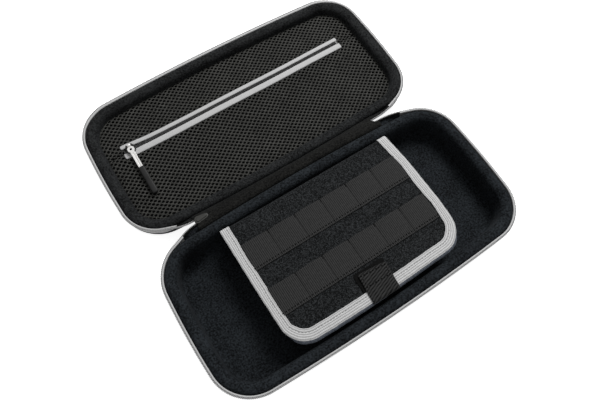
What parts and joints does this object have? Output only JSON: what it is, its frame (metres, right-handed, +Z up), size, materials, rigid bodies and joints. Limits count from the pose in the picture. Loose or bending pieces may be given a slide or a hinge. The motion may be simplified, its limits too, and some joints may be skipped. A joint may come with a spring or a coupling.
{
  "type": "portable game console case",
  "caption": "Zip-round moulded carrying case, lying open: a deep base with a strapped card-pocket flap over its well, and a shallow lid with a zipped mesh pocket.",
  "frame": {"origin": "centre of the flat underside of the base", "axes": "+X along the case's length, +Y from the base across the hinge to the open lid, +Z up"},
  "size_m": [0.3, 0.3087, 0.036],
  "materials": {
    "shell_fabric": "velvety black knit over moulded foam",
    "zip_tape": "grey woven tape",
    "zip_elements": "satin grey",
    "spine_fabric": "dark grey woven",
    "slider_metal": "gunmetal",
    "pull_metal": "bright plated",
    "pull_rubber": "matt moulded",
    "pocket_mesh": "open knitted mesh",
    "strip_fabric": "light grey woven",
    "coil_plastic": "satin dark grey",
    "flap_felt": "brushed black",
    "binding_tape": "light grey twill",
    "pocket_webbing": "ribbed charcoal",
    "strap_webbing": "twill webbing",
    "loop_patch": "fuzzy loop pile",
    "hook_patch": "hook pile"
  },
  "bodies": {
    "base": {"base_shell": "shell_fabric", "base_zip_tape": "zip_tape", "base_zip_chain": "zip_elements", "spine": "spine_fabric", "zip_slider": "slider_metal", "flap_hinge_tape": "flap_felt", "wall_loop_patch": "loop_patch"},
    "lid": {"lid_shell": "shell_fabric", "lid_zip_tape": "zip_tape", "lid_zip_chain": "zip_elements", "lid_zip_tail_left": "zip_elements", "lid_zip_tail_right": "zip_elements", "pocket_mesh_hinge_side": "pocket_mesh", "pocket_mesh_far_side": "pocket_mesh", "pocket_zip_strip_wide": "strip_fabric", "pocket_zip_strip_narrow": "strip_fabric", "pocket_zip_coil": "coil_plastic", "pocket_zip_stops": "coil_plastic"},
    "flap": {"flap_panel": "flap_felt", "flap_binding": "binding_tape", "card_pockets_rear": "pocket_webbing", "card_pockets_front": "pocket_webbing", "flap_patch": "loop_patch", "strap": "strap_webbing", "strap_hook_patch": "hook_patch"},
    "pocket_slider": {"pocket_slider": "pull_metal"},
    "pocket_pull": {"pocket_pull_link": "pull_metal", "pocket_pull_sleeve": "pull_rubber"},
    "zip_pull": {"zip_pull_link": "pull_metal", "zip_pull_sleeve": "pull_rubber"}
  },
  "joints": [
    {"name": "lid_hinge", "type": "hinge", "parent": "base", "child": "lid", "pos_m": [0, 0.0796, 0.0255], "axis": [1, 0, 0], "range_deg": [0, 180], "deforming": ["spine", "lid_zip_tail_left", "lid_zip_tail_right"]},
    {"name": "flap_hinge", "type": "hinge", "parent": "base", "child": "flap", "pos_m": [0, 0.05835, 0.0299], "axis": [1, 0, 0], "range_deg": [-105, 0]},
    {"name": "pocket_slider_slide", "type": "slide", "parent": "lid", "child": "pocket_slider", "axis": [1, 0, 0], "range_m": [0, 0.222]},
    {"name": "pocket_pull_swing", "type": "hinge", "parent": "pocket_slider", "child": "pocket_pull", "pos_m": [-0.114, 0.1804, 0.01605], "axis": [1, 0, 0], "range_deg": [-165, 0]},
    {"name": "zip_pull_swing", "type": "hinge", "parent": "base", "child": "zip_pull", "pos_m": [-0.0925, 0.0796, 0.0209], "axis": [0, 1, 0], "range_deg": [-60, 60]}
  ]
}
